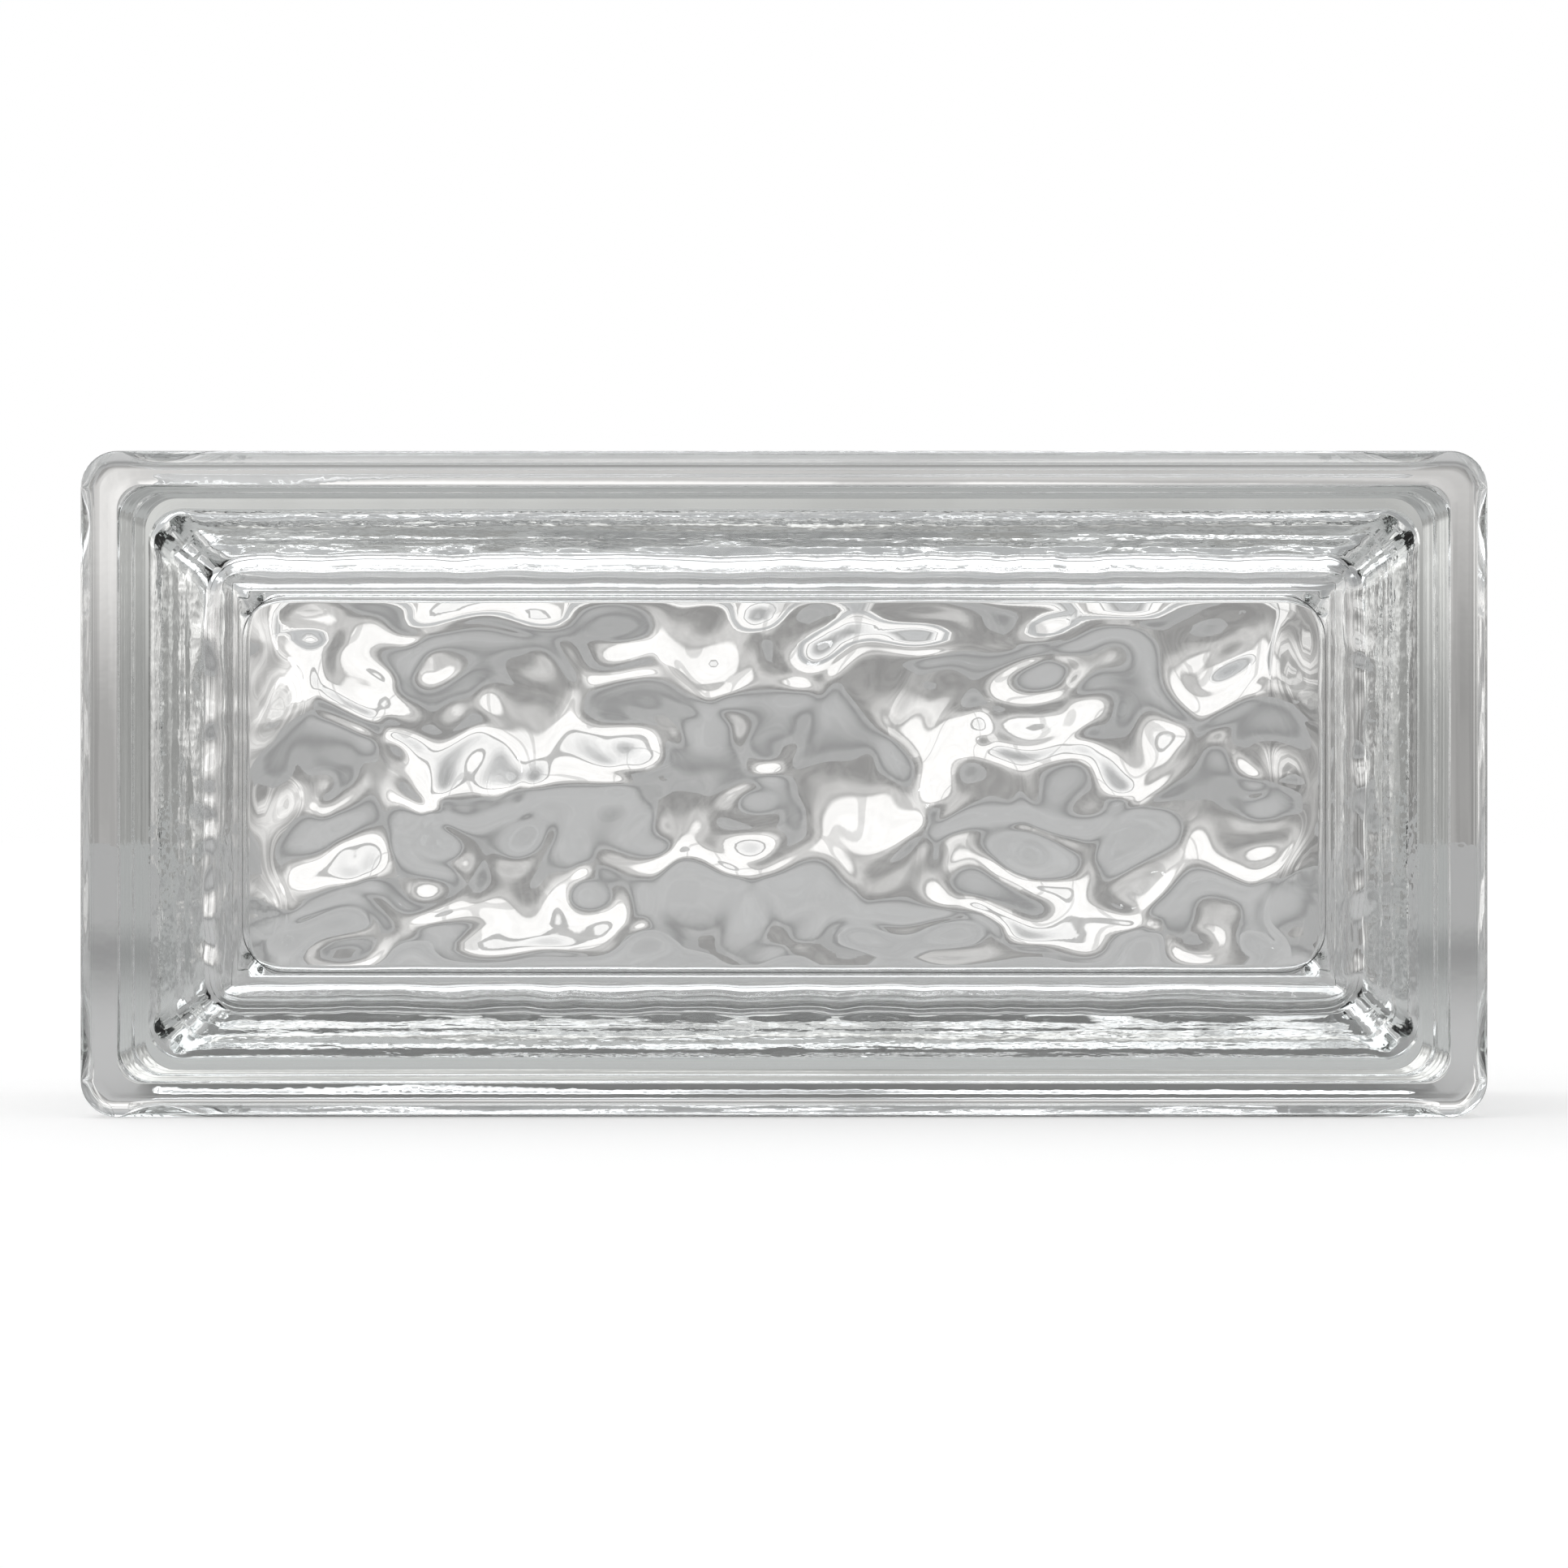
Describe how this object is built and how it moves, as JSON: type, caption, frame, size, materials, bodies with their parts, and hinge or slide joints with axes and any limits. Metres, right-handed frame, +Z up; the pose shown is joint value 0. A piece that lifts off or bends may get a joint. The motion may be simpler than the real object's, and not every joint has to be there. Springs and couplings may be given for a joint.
{
  "type": "glass block",
  "caption": "Clear hollow glass wall block with rounded rims, a mortar groove round its edges and an irregular wave relief inside both faces.",
  "frame": {"origin": "middle of the underside, at the level of the rims that the block stands on", "axes": "+X along the block's length, +Y from the front face to the back face, +Z up as it is laid in a wall"},
  "size_m": [0.19, 0.08, 0.09],
  "materials": {
    "clear_glass": "clear pressed glass, fire-polished faces, a faint green tint where it is thick"
  },
  "bodies": {
    "root": {"glass_block": "clear_glass"}
  },
  "joints": []
}
